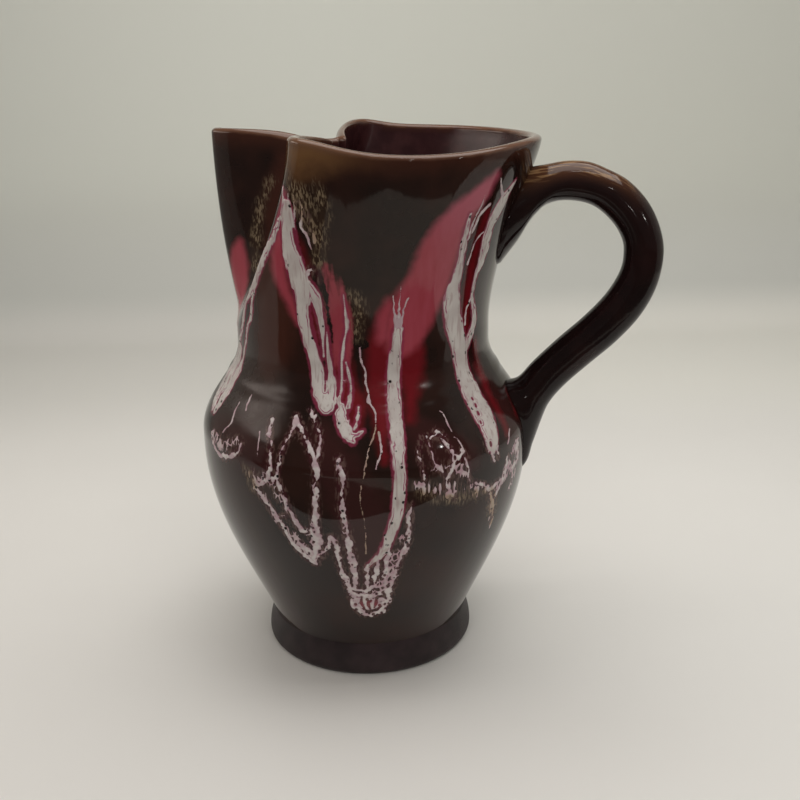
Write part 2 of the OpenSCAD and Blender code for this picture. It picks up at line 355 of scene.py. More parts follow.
# The inside is measured a little under the lip, clear of its round
inside_top = lip_top - 0.6
rows = [around(wall_turn, belly_radius(z), z) for z in np.linspace(foot_h, fold_z, 150)]
for up in np.linspace(0.0, 1.0, 88)[1:]:
    rows.append(around(wall_turn, collar_radius(wall_turn, up), mix(fold_z, lip_top, up)))
outside_rows = len(rows)
rim_outside = rows[-1]
rim_inside = around(wall_turn, inner_radius(wall_turn, inside_top), lip_top)
for k in np.linspace(0.0, 1.0, 15)[1:-1]:
    ring = mix(rim_outside, rim_inside, (1.0 - math.cos(math.pi * k)) / 2.0)
    ring[:, 2] += lip_round * math.sin(math.pi * k)
    rows.append(ring)
for up in np.linspace(1.0, 0.0, 46):
    z = mix(fold_z, lip_top, up)
    rows.append(around(wall_turn, inner_radius(wall_turn, np.minimum(z, inside_top)), z))
for z in np.linspace(fold_z, inside_floor_z, 56)[1:]:
    rows.append(around(wall_turn, inner_radius(wall_turn, np.full_like(wall_turn, z)), z))
floor_r = np.hypot(rows[-1][0, 0], rows[-1][0, 1])
for share in np.linspace(0.97, 0.02, 16):
    rows.append(around(wall_turn, floor_r * share, inside_floor_z - floor_dish * (1.0 - share)))
wall_points = wobbled(np.stack(rows))
wall_grid = wall_points.shape[:2]

mm_per_degree = 0.95
run_step = 0.4
least_half_w = 0.05
field_reach = 12.0
rim_crest_rows = 8
far_lengths = (0.9, 1.06, 0.97, 1.1)
far_shift = 4.0
far_spread = 0.97
far_sway = 7.0
far_sway_rate = 1.7
far_hold_z = 150.0


def curve_through(points, steps_between):
    """A smooth curve through points, with so many steps from each one to the next."""
    points = np.array(points, dtype=float)
    ends = np.concatenate([2 * points[:1] - points[1:2], points, 2 * points[-1:] - points[-2:-1]])
    curve = []
    for a, b, c, d in zip(ends, ends[1:], ends[2:], ends[3:]):
        k = np.linspace(0.0, 1.0, steps_between(b, c), endpoint=False)[:, None]
        curve.append(b + 0.5 * k * (c - a + k * (2 * a - 5 * b + 4 * c - d + k * (3 * (b - c) + d - a))))
    return np.concatenate([*curve, points[-1:]])


def run_steps(here, there):
    """Steps from one point of a run to the next, of about run_step each."""
    length = math.hypot((there[0] - here[0]) * mm_per_degree, there[1] - here[1])
    return max(3, int(length / run_step))


def depth_in(runs, places, reach):
    """How deep places on the wall lie inside the widest of the runs; negative outside, down to -reach."""
    deepest = np.full(places.shape[:-1], -reach)
    for run in runs:
        curve = curve_through(run, run_steps)
        centre = wall_point(curve[:, 0], curve[:, 1])
        near = np.all((places > centre.min(axis=0) - reach) & (places < centre.max(axis=0) + reach), axis=-1)
        found = places[near]
        best = np.full(len(found), -reach)
        for at, half in zip(centre, np.maximum(curve[:, 2], least_half_w)):
            best = np.maximum(best, half - np.sqrt(((found - at) ** 2).sum(axis=-1)))
        deepest[near] = np.maximum(deepest[near], best)
    return deepest


def far_angle(angle):
    return far_shift - far_spread * angle - far_sway * math.sin(math.radians(far_sway_rate * angle))


def other_side(runs):
    """The same kind of runs on the far side of the pitcher, moved round, each longer or shorter."""
    moved = []
    for run, length in zip(runs.values(), itertools.cycle(far_lengths)):
        moved.append([(far_angle(a), far_hold_z + (z - far_hold_z) * length, w) for a, z, w in run])
    return moved


def paint(piece, name, values):
    """Writes one value for each point of the piece, for its coat to read."""
    layer = piece.data.attributes.new(name, "FLOAT", "POINT")
    layer.data.foreach_set("value", values.ravel().astype(np.float32))


# Runs as points (degrees from the handle, height, half width in millimetres), from the top to the tip
white_runs = {
    "fold_ridge": [
        (-106.8, 186, 0.25), (-106.3, 182, 0.4), (-107.5, 177.5, 0.5), (-112, 170.5, 0.9), (-117, 165, 1.5),
        (-123, 158.5, 1.9), (-129, 150.5, 1.7), (-134, 146, 1.1), (-138, 142.5, 0.9), (-140.5, 138, 0.8),
        (-144.5, 132, 0.8), (-152, 124.5, 1.1), (-157, 118, 2.2), (-158, 112, 2.8), (-156, 106, 2.4),
        (-151, 101, 1.0),
    ],
    "fold_right": [
        (-126, 153, 0.6), (-131, 145, 0.6), (-133, 139, 0.6), (-137.5, 134, 0.6), (-140, 129, 0.7),
        (-144.5, 121, 0.9), (-145.5, 117, 2.0), (-146.5, 112, 2.8), (-147, 106.5, 2.6),
        (-147.5, 101.5, 1.3),
    ],
    "fold_fill": [
        (-148.5, 124, 1.4), (-151, 119.5, 2.6), (-152, 114, 2.8), (-152.5, 108, 2.8), (-151.5, 103, 1.6),
    ],
    "wide_left": [
        (-104.6, 181, 1.3), (-104.8, 175, 2.3), (-105.1, 170, 2.9), (-104.9, 165.5, 3.2), (-104, 161, 3.5),
        (-102.8, 156.5, 3.6), (-101.2, 151.5, 3.5), (-101.6, 147, 2.6), (-101.7, 142, 2.5),
        (-100.4, 137, 2.4), (-98.8, 131, 2.3), (-97.4, 126, 2.2), (-96.2, 121, 2.5), (-94.3, 116.5, 3.2),
        (-91.8, 112.8, 2.9),
    ],
    "wide_middle": [
        (-98.2, 154.5, 1.2), (-96.8, 151.5, 1.8), (-95.6, 148, 1.8), (-94.6, 144, 1.4), (-94, 139, 0.9),
        (-93.8, 134, 0.6), (-93.6, 129, 0.6),
    ],
    "wide_right": [
        (-92, 139, 0.4), (-91.8, 131, 0.7), (-91.2, 124.5, 1.1), (-90.5, 119, 1.8), (-90.6, 114, 2.2),
    ],
    "hook_line": [
        (-84.5, 151, 0.2), (-84, 144, 0.4), (-84, 138.5, 0.5), (-85.5, 132.5, 0.5), (-86.5, 125.5, 0.5),
        (-86.5, 119, 0.5), (-87, 114, 0.6), (-85.5, 110.5, 1.5),
    ],
    "hook_inner": [(-84.5, 127, 0.3), (-83, 121, 0.4), (-82.5, 116.5, 0.5), (-83.5, 112.5, 1.0)],
    "hook_drop": [(-86, 112.5, 1.2), (-86, 109.5, 2.0), (-84, 105.5, 2.1), (-81.5, 102.5, 1.0)],
    "hook_arm": [(-82, 104, 1.2), (-79.5, 104.5, 0.8), (-78, 105.5, 0.4)],
    "hook_point": [(-81, 106, 0.6), (-80, 109, 0.5), (-79.5, 112.5, 0.3)],
    "centre": [
        (-63, 138, 1.7), (-63.5, 132, 1.9), (-64.5, 126, 2.2), (-65.2, 120, 2.3), (-65.9, 113.5, 2.4),
        (-66.4, 108, 2.4), (-66.4, 102, 2.3), (-66.9, 96, 2.1), (-66.9, 89.5, 2.1), (-67.2, 83, 2.1),
        (-67.8, 77, 2.0), (-69.6, 69.6, 1.8), (-71.5, 63, 1.6), (-73.8, 59, 1.1), (-77.6, 55.2, 0.6),
    ],
    "right": [
        (-38.2, 176, 0.6), (-38.2, 172, 1.0), (-37.9, 165, 1.4), (-37.7, 159, 1.6), (-37.9, 154, 2.0),
        (-38.9, 149.5, 2.9), (-38.5, 145, 3.6), (-37.2, 140, 3.9), (-35.1, 135, 4.0), (-32.5, 130, 3.9),
        (-30.8, 122, 3.6), (-30.7, 114.5, 4.2), (-30.3, 109, 4.8), (-29.9, 104.5, 4.9), (-30.2, 100, 4.1),
        (-30.5, 96, 3.3), (-30.8, 93.5, 2.2),
    ],
    "right_side": [
        (-18.4, 185, 0.6), (-20.4, 182, 1.6), (-22.2, 178.5, 2.6), (-24, 174, 2.8), (-25.4, 170, 2.4),
        (-24.9, 165.5, 2.6), (-24.2, 161, 2.3), (-24.5, 157, 1.7), (-25.6, 154, 1.0), (-26.2, 149.5, 0.7),
        (-25.8, 145, 0.7), (-23.2, 140, 1.2), (-21.5, 135.5, 1.6), (-23.6, 131.5, 1.7), (-26.6, 127.5, 1.6),
    ],
}
strands = {
    "wide_ring": [
        (-98, 151.5, 0.8), (-98.8, 154, 0.5), (-98.5, 156.5, 0.5), (-97.5, 158.8, 0.7), (-95.5, 159.3, 0.6),
        (-94, 158, 0.4), (-93.8, 155.5, 0.35),
    ],
    "left": [(-113, 106.5, 0.5), (-112, 102, 0.7), (-110, 98.5, 0.4), (-109.5, 92, 0.7), (-110, 87.5, 1.2)],
    "star_blob": [(-111, 88.9, 1.4), (-108.2, 87.6, 1.3)],
    "left_star": [(-110.5, 87.5, 0.8), (-115, 84.5, 0.8), (-116.5, 89, 0.3)],
    "second": [
        (-103, 108.5, 0.9), (-103, 105, 0.7), (-105, 100.5, 0.6), (-105.5, 95.5, 0.5), (-106.5, 90.5, 0.5),
        (-105.5, 82.5, 0.7), (-104, 79.5, 0.7), (-104, 75, 0.5), (-108, 73, 0.4),
    ],
    "third": [
        (-102.5, 108, 0.9), (-99, 104, 0.8), (-96.5, 101, 0.8), (-94.5, 97.5, 0.7), (-93, 93, 0.9),
        (-93.1, 89.7, 0.6), (-93.6, 83, 0.6), (-93.6, 78.6, 0.9), (-94.2, 72, 1.4), (-94.4, 65.5, 1.7),
        (-95.5, 60, 1.3), (-96.6, 56, 0.8),
    ],
    "third_branch": [
        (-98, 111, 0.3), (-94.5, 107, 0.5), (-92.5, 102.5, 0.4), (-92.5, 99, 0.5), (-93.5, 94.5, 0.6),
    ],
    "lower_edge": [
        (-116, 83, 0.7), (-112.2, 78.8, 0.8), (-108.5, 72.5, 0.9), (-105.1, 66.6, 0.9), (-101.9, 60.2, 1.1),
        (-96.7, 55.2, 1.0),
    ],
    "tip_fill": [(-101.5, 63.5, 0.9), (-98.5, 60.5, 1.6), (-96.8, 57.5, 1.4)],
    "inner_edge": [
        (-105.4, 85.3, 0.6), (-103.4, 78.8, 0.7), (-101.6, 72.8, 0.9), (-98.7, 69.5, 0.9),
        (-95.8, 70.4, 0.7),
    ],
    "tooth": [
        (-96.7, 55.2, 0.9), (-94, 59, 0.7), (-91.6, 62.8, 0.7), (-89.1, 67.4, 1.0), (-87.6, 62.3, 0.9),
        (-87.4, 55.9, 0.7), (-86.4, 49.4, 0.8), (-84.2, 41.5, 1.0),
    ],
    "fourth": [
        (-86, 97, 0.7), (-85, 93, 1.0), (-84.8, 88.8, 0.9), (-85.1, 83, 0.6), (-85.1, 79.4, 0.9),
        (-84, 69, 1.2), (-83.4, 62.5, 1.3), (-82.5, 53.3, 1.0), (-82.5, 43.7, 0.9),
    ],
    "drop": [
        (-84.2, 41.5, 1.0), (-83.2, 34.5, 1.2), (-79.9, 30.8, 1.3), (-75.8, 30.1, 1.3), (-71.8, 32, 1.2),
        (-69.8, 38.3, 1.0),
    ],
    "drop_fill": [(-81.6, 37, 2.6), (-77.9, 35.6, 3.2), (-73.4, 36.6, 2.7)],
    "drop_neck": [(-82.6, 40.8, 1.2), (-78, 40, 1.4), (-72.6, 41, 1.2)],
    "drop_arch": [(-82.5, 43, 0.8), (-78.1, 43, 0.9), (-74.7, 45.2, 0.9), (-71.5, 44, 0.8)],
    "drop_inner": [(-77.8, 55.1, 0.6), (-77.9, 49.3, 0.7), (-78.1, 43.7, 0.9)],
    "drop_right": [
        (-63, 80, 0.4), (-63.5, 76.2, 0.7), (-63.6, 70, 0.8), (-64.1, 64, 0.8), (-66, 57, 0.8),
        (-67.9, 49.9, 0.9), (-69.8, 38.3, 1.0),
    ],
    "tail_middle": [(-73.8, 59, 0.8), (-74.6, 52.5, 0.8), (-75, 46, 0.8)],
    "tail_right": [(-70.5, 65, 0.9), (-70.6, 58, 0.8), (-71.2, 51, 0.9), (-71.5, 43.5, 0.9)],
    "shoulder_curl": [
        (-142, 93.5, 0.4), (-138, 90.5, 0.6), (-133.5, 89, 0.7), (-127.5, 91.5, 0.7), (-123.5, 94.5, 0.6),
        (-122.5, 97, 0.4),
    ],
    "web_left": [(-58.3, 102.6, 0.15), (-60, 97.3, 0.2), (-59.2, 92, 0.25), (-58.8, 87.8, 0.3)],
    "web_second": [(-56.4, 102.4, 0.25), (-55.8, 96.7, 0.25), (-54.4, 92.3, 0.35), (-51.9, 89.1, 0.45)],
    "web_main": [
        (-52.7, 103.5, 0.4), (-49.4, 98.5, 0.6), (-48.2, 94.7, 0.9), (-48.9, 91.1, 1.0), (-51.2, 84.9, 0.8),
        (-49, 81.5, 0.5), (-47.7, 79.2, 0.5),
    ],
    "web_top": [(-55.2, 101.9, 0.4), (-51.6, 102.5, 0.55), (-49.6, 101.3, 0.3)],
    "web_right": [(-44.5, 95.7, 0.6), (-42.9, 90.9, 0.5), (-42.1, 83.9, 0.4)],
    "web_blob": [(-48.2, 95.3, 0.7), (-46, 93.6, 0.9), (-43.9, 95, 0.6)],
    "right_tooth_left": [(-33.3, 96, 0.9), (-33.2, 92.7, 0.4)],
    "right_tooth_middle": [(-31.4, 93.5, 1.0), (-30.5, 88.1, 0.4)],
    "right_tooth_right": [(-29.1, 94, 0.9), (-28, 88.6, 0.4)],
    "far_patch": [(-39.7, 82.5, 0.6), (-35.4, 80.4, 0.7), (-31.5, 77.6, 0.9), (-28.6, 78.7, 0.8)],
    "far_fall": [(-31.2, 76, 0.7), (-28.6, 69.1, 0.7), (-27.3, 62.4, 0.4)],
    "far_web": [(-22, 86.3, 0.8), (-23.5, 81.9, 1.0), (-28.2, 73.9, 0.7)],
    "far_web_top": [(-14.8, 90, 1.2), (-12.9, 82.8, 1.0), (-18, 81, 0.8)],
}
threads = {
    "fray_left": [(-103.5, 186, 0.1), (-103.8, 180, 0.4), (-104.4, 175, 0.8)],
    "fray_middle": [(-101, 184, 0.1), (-101.5, 178, 0.3), (-102.5, 172, 0.5), (-104, 167, 0.8)],
    "fray_right": [
        (-98, 184, 0.1), (-98.5, 178, 0.35), (-99, 173.5, 0.5), (-97, 170, 0.4), (-96, 166, 0.25),
    ],
    "left_side": [(-116, 102, 0.4), (-114.5, 94.5, 0.2)],
    "shoulder_line": [(-135, 98, 0.3), (-132, 101.5, 0.4), (-133, 105.5, 0.4), (-132.5, 108, 0.3)],
    "shoulder_wisp": [(-127, 107, 0.4), (-128, 110, 0.5), (-127.5, 112, 0.3)],
    "thread": [(-79, 132, 0.3), (-77, 124, 0.35), (-76, 116.5, 0.4), (-75.5, 114, 0.7)],
    "thread_low": [
        (-75.5, 114.5, 0.4), (-73.5, 110.5, 0.25), (-74, 105, 0.35), (-76, 100.5, 0.25), (-77.5, 94.5, 0.2),
        (-79, 86, 0.2), (-79, 80, 0.2), (-78, 72, 0.2), (-78, 61, 0.3),
    ],
    "thread_side": [(-72.5, 105, 0.4), (-72, 100, 0.4), (-74, 94, 0.25)],
    "web_wisp": [(-48.2, 108.7, 0.3), (-47.2, 107.5, 0.35), (-46.6, 102.5, 0.3)],
    "web_wisp_low": [(-46.4, 100.6, 0.2), (-44.9, 98.3, 0.35), (-43.8, 95.6, 0.4)],
    "far_wisp": [(-19, 96, 0.4), (-22, 92, 0.5)],
    "right_top": [(-28.3, 187, 0.3), (-25.5, 183, 0.6), (-23, 179.5, 0.9)],
    "right_hair": [
        (-34, 182, 0.2), (-34, 178.5, 0.35), (-35, 175, 0.4), (-36.2, 171, 0.45), (-36, 167, 0.5),
    ],
    "right_hair_low": [
        (-28.3, 168.5, 0.4), (-30.8, 167.3, 0.4), (-32.2, 164, 0.4), (-32.5, 161, 0.4), (-33.5, 158, 0.5),
    ],
    "right_hair_top": [(-29.4, 178.5, 0.6), (-32.5, 176, 0.7), (-33.8, 173, 0.6), (-35, 169.5, 0.5)],
    "right_hair_side": [
        (-26.4, 159, 0.4), (-26.6, 154, 0.45), (-26.5, 149, 0.5), (-26.7, 144.5, 0.6), (-28.6, 140.5, 0.5),
        (-28.5, 135.5, 0.5),
    ],
    "centre_fork_left": [(-65.2, 150, 0.2), (-64.3, 145, 0.4), (-63.3, 138, 0.9)],
    "centre_fork_middle": [(-62.3, 153, 0.15), (-62.5, 146, 0.35), (-62.9, 138, 0.9)],
    "centre_fork_right": [(-59, 149, 0.2), (-61, 144.5, 0.4), (-62.4, 138, 0.9)],
}
slits = {
    "wide": [(-98.4, 146, 0.6), (-98, 142, 1.1), (-97, 137, 1.3), (-95.8, 132.5, 0.8), (-95.2, 129, 0.3)],
    "wide_top": [(-102.6, 172.5, 0.5), (-101.9, 168, 0.8), (-100.8, 164, 0.4)],
    "tongue": [(-93.4, 126, 0.25), (-93.3, 121, 0.3), (-93.2, 117, 0.2)],
    "hook": [(-84.8, 126, 0.2), (-84.7, 119, 0.5), (-84.6, 113.5, 0.3)],
    "fold_end": [(-150.6, 106.4, 0.6), (-149.6, 103.8, 0.7)],
    "drop_left": [(-80.4, 39.6, 0.3), (-80.6, 36.2, 0.65), (-79.5, 33, 0.3)],
    "drop_middle": [(-77.8, 38.2, 0.3), (-77.7, 35, 0.65), (-76.8, 32.4, 0.3)],
    "drop_right": [(-74.4, 39.4, 0.3), (-74.5, 36.3, 0.65), (-75.2, 33.5, 0.3)],
    "right_pit_top": [(-31.7, 109.9, 0.4), (-31.6, 109.5, 0.4)],
    "right_pit_second": [(-31.5, 107.8, 0.5), (-31.6, 107.3, 0.5)],
    "right_pit_third": [(-32.1, 105.4, 0.5), (-32.2, 104.9, 0.5)],
    "right_pit_low": [(-33, 102.6, 0.4), (-33.1, 102.1, 0.4)],
    "right_pit_tip": [(-31.8, 95.2, 0.5), (-31.8, 94.3, 0.5)],
}
lace_patches = {
    "shoulder": [(-142, 95, 2.5), (-133, 94, 3.0), (-126, 97, 2.5)],
    "star": [(-116, 86, 2.0), (-110, 87, 3.0), (-106, 80, 2.5)],
    "third": [(-94, 90, 1.0), (-94, 78, 1.5), (-95.5, 68, 2.5), (-96.5, 59, 2.0)],
    "left_slope": [(-112, 78, 1.5), (-106.5, 70, 2.4), (-101, 63, 3.0), (-98, 60, 3.0)],
    "drop": [(-83, 44, 2.0), (-78, 42, 2.5), (-72, 44, 3.0), (-69, 55, 3.0), (-66, 66, 2.0)],
    "right": [(-57.5, 91, 0.8), (-53.5, 92, 1.4), (-49.5, 91, 2.6), (-46, 88.5, 2.6), (-43, 87, 2.0)],
    "far": [(-36, 80, 2.0), (-28, 77, 2.5), (-21, 82, 4.0), (-15, 88, 4.0), (-17, 74, 3.0)],
}
fringes = {
    "right": [(-61, 86.5, 2.0), (-55, 84, 3.0), (-48.5, 82, 3.2), (-41.2, 81, 2.6), (-34, 79, 2.0)],
    "far": [(-31.2, 76, 2.0), (-28.6, 69, 2.2), (-27.3, 61, 1.4)],
    "left": [(-119, 88, 1.5), (-116.5, 84, 1.8), (-112.5, 79, 1.2)],
    "rim": [(-99.5, 182, 1.5), (-97, 176, 1.8), (-95.5, 169, 1.4)],
}
pink_pools = {
    "swoosh": [
        (-31, 188, 1.8), (-36, 182, 4.5), (-43, 176, 5.0), (-46.5, 168, 7.5), (-48.5, 161, 8.5),
        (-51.5, 152, 9.0), (-56, 145, 9.5), (-59, 139, 8.5), (-61, 134, 6.0),
    ],
    "swoosh_left": [(-66.5, 147, 2.5), (-68.5, 142, 3.0), (-69.5, 136, 2.5)],
    "spout": [(-165, 160, 2.0), (-166, 153, 5.5), (-166, 145, 6.5), (-164, 137, 6.0), (-157, 130, 3.0)],
    "fold": [
        (-105.5, 184, 1.2), (-108.5, 175, 2.2), (-111, 166, 3.2), (-111.5, 158, 3.4), (-110, 151.5, 3.0),
        (-107, 146, 2.2), (-105, 140, 1.2),
    ],
    "drop": [(-80.5, 35.5, 2.5), (-75, 35.5, 2.5)],
}
torn_pools = {
    "middle": [
        (-90.5, 161, 1.0), (-88.5, 154, 3.0), (-87, 147, 4.0), (-86.5, 140, 4.6), (-86, 134, 3.6),
        (-86, 127, 2.4),
    ],
}
crimson_pools = {
    "middle": [(-87, 132, 3), (-86, 120, 4), (-81, 113, 3.5), (-80.5, 106, 2)],
    "beside_centre": [(-71, 136, 3), (-70.5, 126, 5), (-71, 116, 4.5), (-71.5, 106, 2.5), (-71.5, 96, 1)],
    "right_of_centre": [(-57, 134, 4), (-57, 124, 5), (-58.5, 116, 3), (-61, 108, 1.5)],
    "swoosh_slot": [(-36, 179, 1.2), (-35.5, 174, 2.0), (-37, 168, 1.2)],
    "slot": [(-30, 176, 1.5), (-30, 162, 2.2), (-29.5, 148, 2.8), (-27.5, 134, 2)],
    "right": [(-19, 127, 1.5), (-18.5, 120, 2.0), (-20.5, 112, 2.2), (-21, 105, 1.8), (-21, 96, 1.2)],
    "near_handle": [(-6, 106, 0.5), (-10, 99, 1.0)],
    "wide_slot": [(-98.5, 147, 0.8), (-97, 141, 1.3), (-96.5, 133, 0.9)],
    "wide_top_slot": [(-101.5, 170, 0.5), (-99.5, 165, 0.9), (-98.5, 158, 0.5)],
}
maroon_fields = {
    "belly": [(-92, 104, 5), (-86, 92, 8), (-80, 80, 9), (-76, 66, 9), (-76, 52, 6)],
    "left": [(-140, 98, 6), (-126, 96, 8), (-112, 92, 6)],
    "right": [(-60, 104, 5), (-52, 98, 8), (-44, 92, 7)],
    "right_shoulder": [(-26, 118, 5), (-18, 108, 7), (-16, 94, 7)],
}
warm_fields = {
    "neck_left": [(-120, 162, 3), (-118, 152, 7), (-117, 142, 9), (-119, 132, 9), (-122, 124, 6)],
    "spout": [(-150, 189, 4), (-150, 177, 7), (-149, 162, 5)],
}
tan_patches = {
    "rim": [(-101.5, 188, 2.0), (-98.5, 183, 3.5), (-96, 177, 3.0), (-93, 169, 2.0), (-94.5, 162, 1.5)],
    "rim_right": [(-92, 188, 1.0), (-90, 183, 1.5), (-91, 176, 1.5)],
    "spout": [(-155.5, 184, 0.4), (-158, 177, 1.2), (-159, 169, 1.4), (-158.5, 160, 1.6), (-157, 153, 1.4)],
    "right_fringe": [
        (-60, 83.5, 1.2), (-54, 80.5, 1.7), (-47, 78.5, 1.7), (-41, 78.5, 1.3), (-35, 77.5, 1.0),
    ],
    "far_fringe": [(-31, 76, 1.6), (-28.5, 69, 1.8), (-27.3, 62, 1.2)],
    "left_fringe": [(-119, 88, 1.8), (-117, 84, 1.8)],
    "middle_dots": [(-80.5, 150.5, 1.2), (-77.5, 146, 1.6), (-79.5, 141, 1.2), (-78.5, 136, 1.0)],
}
tan_lines = {
    "thread": [(-73, 106, 1.2), (-75, 100, 1.2), (-78, 90, 1.2), (-79, 78, 1.2), (-78, 60, 1.2)],
}
dark_spots = {
    "eye": [(-79, 133.3, 1.9), (-77.2, 133.3, 1.9)],
    "wide_edge": [
        (-92.6, 157, 0.5), (-91.6, 151, 0.9), (-91.2, 146, 0.7), (-90.6, 140, 0.9), (-90, 134, 0.5),
    ],
}
# Where threads too thin to stand up hang between the strands and over the fringes
veils = {"lace_" + place: run for place, run in lace_patches.items()}
veils.update({"fringe_" + place: run for place, run in fringes.items()})

outside = wall_points[:outside_rows]
glaze_fields = {
    "white": white_runs, "strand": strands, "pink": pink_pools, "crimson": crimson_pools,
    "maroon": maroon_fields, "tan": tan_patches, "torn": torn_pools, "dark": dark_spots,
    "warm": warm_fields, "veil": veils,
}
wall_values = {}
for key, runs in glaze_fields.items():
    wall_values[key] = np.full(wall_grid, -field_reach)
    wall_values[key][:outside_rows] = depth_in([*runs.values(), *other_side(runs)], outside, field_reach)
tan_reach = 1.0 + wave(wall_turn, *tan_corner)
wall_values["below_lip"] = (lip_height(wall_turn) - wall_points[..., 2]) / tan_reach
wall_values["corner"] = np.broadcast_to(wave(wall_turn, *golden_corner), wall_grid)
wall_values["inside"] = np.zeros(wall_grid)
wall_values["inside"][outside_rows + rim_crest_rows:] = 1.0

floor_cap = grid_index(*wall_grid)[-1].tolist()
wall = make_piece("wall_thrown_and_pinched", wall_points, grid_faces(*wall_grid, True), [floor_cap])
for key, values in wall_values.items():
    paint(wall, key, values)

dark_brown = (0.0155, 0.0074, 0.0058, 1)
thin_brown = (0.030, 0.0118, 0.0085, 1)
warm_brown = (0.060, 0.0190, 0.0125, 1)
maroon = (0.040, 0.0120, 0.0110, 1)
crimson = (0.17, 0.0085, 0.0135, 1)
deep_pink = (0.34, 0.042, 0.058, 1)
milky_pink = (0.42, 0.076, 0.108, 1)
top_pink = (0.45, 0.090, 0.135, 1)
spot_black = (0.012, 0.006, 0.005, 1)
tan_ground = (0.058, 0.034, 0.020, 1)
tan_speck = (0.26, 0.19, 0.12, 1)
magenta_line = (0.27, 0.035, 0.075, 1)
strand_halo = (0.075, 0.016, 0.025, 1)
veil_grey = (0.20, 0.125, 0.105, 1)
lip_brown = (0.060, 0.020, 0.012, 1)
lip_gold = (0.19, 0.096, 0.040, 1)
lip_tan = (0.145, 0.072, 0.044, 1)
inside_dark = (0.027, 0.0080, 0.0090, 1)
inside_red = (0.043, 0.0140, 0.0145, 1)
# Grey of the painted sheen on the shoulder under the spout
painted_sheen_grey = (0.058, 0.036, 0.029, 1)

glaze = Coat("brown_pink_drip_glaze")
grain = glaze.noise(1.6, detail=3.0)
lumps = glaze.noise(6.0, detail=3.0)
streaks = glaze.noise(2.2, glaze.stretched(9.0), 3.0)
glaze_up = glaze.axis("Z")
# Brown, thinner and warmer in clouds, maroon where the crimson thinned out over it
clouds = glaze.step(glaze.noise(22.0, detail=3.0), 0.35, 0.7)
glaze.ground(clouds, dark_brown, thin_brown)
glaze.lay(glaze.pool("warm", lumps, 6.0, -4.0, 4.0), warm_brown)
glaze.lay(glaze.pool("maroon", lumps, 8.0, -4.0, 4.0), maroon)
# Crimson and pink pools with soft, mottled edges
glaze.lay(glaze.pool("crimson", lumps, 4.0, -2.5, 3.0), crimson)
pink = glaze.blend(streaks, deep_pink, milky_pink)
pink = glaze.blend(glaze.step(glaze_up, 0.162, 0.186), pink, top_pink)
glaze.lay(glaze.pool("pink", lumps, 3.0, -1.8, 2.6), pink)
torn_edge = glaze.plus(glaze.ragged("torn", streaks, 6.0), glaze.times(grain, 2.0))
glaze.lay(glaze.step(torn_edge, 0.0, 3.0), pink, 0.9)
glaze.lay(glaze.pool("dark", grain, 1.8, -0.2, 0.4), spot_black)
# Tan specks, drawn out downwards
tan_zone = glaze.pool("tan", lumps, 5.0, -2.6, 2.4)
speck_groups = glaze.step(glaze.noise(3.0, glaze.stretched(2.0)), 0.32, 0.54)
specks = glaze.step(glaze.noise(0.62, glaze.stretched(3.5), 4.0), 0.46, 0.59)
glaze.lay(tan_zone, tan_ground, 0.5)
glaze.lay(glaze.times(glaze.times(tan_zone, speck_groups), specks), tan_speck)
# Pink and magenta lines along the white runs and the strands
glaze.lay(glaze.pool("white", grain, 1.4, -1.15, -0.2), magenta_line, 0.75)
glaze.lay(glaze.pool("strand", grain, 2.0, -1.6, 0.2), strand_halo, 0.5)
# Veil of thin, pale threads
veil_threads = glaze.step(glaze.noise(0.9, glaze.stretched(3.0), 3.0), 0.47, 0.62)
veil_zone = glaze.pool("veil", lumps, 4.0, -1.5, 1.5)
near_strand = glaze.pool("strand", lumps, 2.0, -2.0, -0.4)
veil = glaze.times(glaze.math("MAXIMUM", veil_zone, near_strand), veil_threads)
glaze.lay(veil, veil_grey, 0.5)
# Tan break on the lip's edge, plain red-brown inside
lip_edge = glaze.ragged("below_lip", lumps, 4.0)
glaze.lay(glaze.step(lip_edge, 9.0, 1.0), lip_brown, 0.75)
golden = glaze.times(glaze.field("corner"), glaze.step(lip_edge, 7.5, 1.5))
glaze.lay(golden, lip_gold, 0.9)
glaze.lay(glaze.pool("below_lip", lumps, 1.4, 2.0, 0.4), lip_tan, 0.8)
inside_brown = glaze.blend(glaze.step(lumps, 0.3, 0.7), inside_dark, inside_red)
deep_inside = glaze.times(glaze.field("inside"), glaze.step(lip_edge, 0.5, 3.5))
glaze.lay(deep_inside, inside_brown)
gloss = glaze.plus(glaze.span(lumps, 0.03, 0.06), glaze.times(deep_inside, 0.22))
# The glaze lies duller and uneven on the shoulder, and duller still under the spout, where grey is laid on as
# a painted sheen for the hazy reflection there
shoulder = glaze.times(glaze.step(glaze_up, 0.096, 0.106), glaze.step(glaze_up, 0.128, 0.120))
gloss = glaze.plus(gloss, glaze.times(shoulder, glaze.times(lumps, 0.22)))
rough_shoulder_and_sheen = glaze.times(shoulder, glaze.step(glaze.axis("X"), -0.010, -0.024))
gloss = glaze.plus(gloss, glaze.times(rough_shoulder_and_sheen, 0.12))
# Painted sheen: grey laid over the shoulder under the spout
glaze.lay(rough_shoulder_and_sheen, painted_sheen_grey, 0.35)
wall.data.materials.append(glaze.finish(gloss, streaks, 0.02))
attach(wall, "root")
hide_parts("floor_slab", "belly_wall", "neck_collar")

# White runs: thick tongues of white glaze poured from the lip, and the lace of strands that they tear into.
# They stand up from the brown; their skin dips under the wall round its edge, so that each run ends in a
# clean, rounded border with a thin pink line.
bead_h = 0.45
bead_curve = 0.7
dip = 0.7
hem = 0.6
run_reach = 3.0
drip_reach = 4.0
margin_angle = 4.0
margin_h = 3.0
net_size = 1.9
pit_r = 0.6
fine_size = 1.2
coarse_size = 3.6
flow_size = 0.85
swell_size = 2.6
# Stretches of the noise down the wall
along_flow = (1.0, 1.0, 0.11)
along_net = (1.0, 1.0, 0.6)
along_drips = (1.0, 1.0, 0.05)


